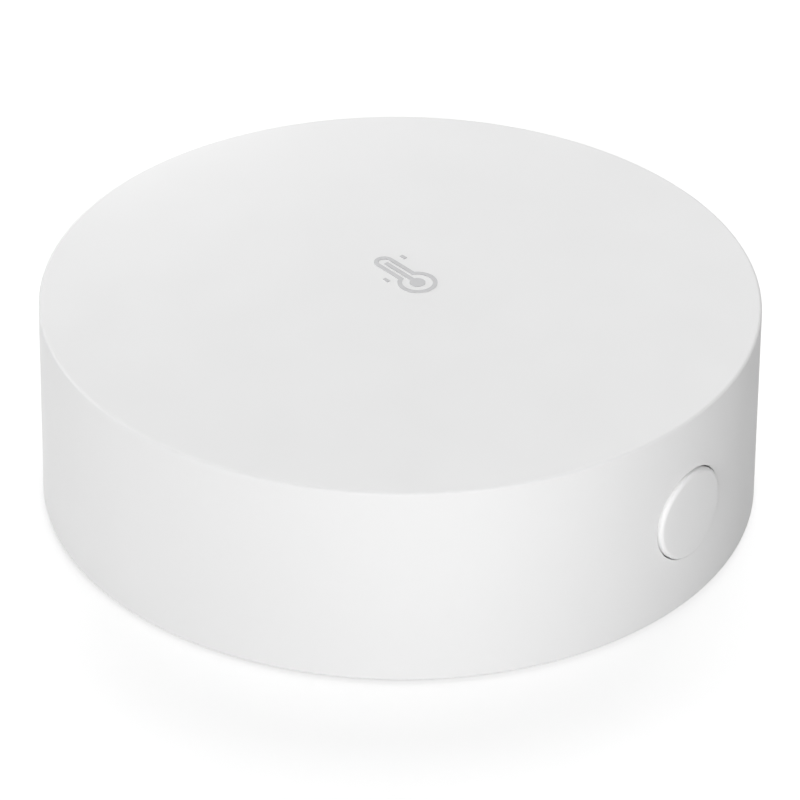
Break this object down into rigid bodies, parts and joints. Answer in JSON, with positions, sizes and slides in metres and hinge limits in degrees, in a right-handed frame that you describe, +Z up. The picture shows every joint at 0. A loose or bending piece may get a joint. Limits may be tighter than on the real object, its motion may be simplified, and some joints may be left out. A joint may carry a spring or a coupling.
{
  "type": "temperature and humidity sensor",
  "caption": "Round battery-powered room sensor with a plain white cover, a push button in the side wall, air slots at the back and an adhesive base.",
  "frame": {"origin": "centre of the underside of the round adhesive pad, which the sensor stands on", "axes": "+Z up, out of the sensor's flat top; the push button faces -Y; the air slots face +Y"},
  "size_m": [0.065, 0.0654, 0.0199],
  "materials": {
    "cover_plastic": "satin",
    "button_plastic": "satin",
    "base_plastic": "satin",
    "tray_plastic": "satin",
    "grey_ink": "matte",
    "foam_pad": "matte",
    "cell_can": "satin",
    "cell_wrap": "gloss",
    "contact_metal": "satin",
    "spring_wire": "satin",
    "board_laminate": "satin",
    "tinned_sheet": "satin",
    "chip_resin": "matte",
    "led_body": "gloss",
    "capacitor_resin": "satin",
    "capacitor_ceramic": "satin",
    "screw_steel": "satin"
  },
  "bodies": {
    "base": {"base_cover": "base_plastic", "mounting_pad": "foam_pad"},
    "sensor_body": {"housing": "cover_plastic", "printed_symbol": "grey_ink", "battery_tray": "tray_plastic", "cell_front": "cell_can", "cell_rear": "cell_can", "cell_front_sleeve": "cell_wrap", "cell_rear_sleeve": "cell_wrap", "contact_positive": "contact_metal", "contact_negative": "contact_metal", "contact_bridge": "contact_metal", "spring_front": "spring_wire", "spring_rear": "spring_wire", "circuit_board": "board_laminate", "radio_board": "board_laminate", "radio_shield": "tinned_sheet", "radio_chip": "chip_resin", "humidity_sensor": "chip_resin", "switch_case": "chip_resin", "switch_frame": "tinned_sheet", "switch_dome": "tinned_sheet", "switch_terminals": "tinned_sheet", "status_led": "led_body", "led_lens": "led_body", "regulator": "chip_resin", "crystal": "tinned_sheet", "bulk_capacitors": "capacitor_resin", "small_capacitors": "capacitor_ceramic", "small_resistors": "chip_resin", "programming_pads": "contact_metal", "tray_screws": "screw_steel"},
    "button": {"button_cap": "button_plastic"},
    "plunger": {"switch_plunger": "chip_resin"}
  },
  "joints": [
    {"name": "cover_pull", "type": "slide", "parent": "base", "child": "sensor_body", "axis": [0, 0, 1], "range_m": [0, 0.03]},
    {"name": "button_press", "type": "slide", "parent": "sensor_body", "child": "button", "axis": [0, 1, 0], "range_m": [0, 0.0003], "stiffness_N_per_m": 4000, "springref_m": -0.0001},
    {"name": "plunger_press", "type": "slide", "parent": "sensor_body", "child": "plunger", "axis": [0, 1, 0], "range_m": [0, 0.0003], "deforming": ["switch_dome"]}
  ],
  "couplings": [
    {"joint": "plunger_press", "follows": "button_press", "ratio": 1}
  ]
}
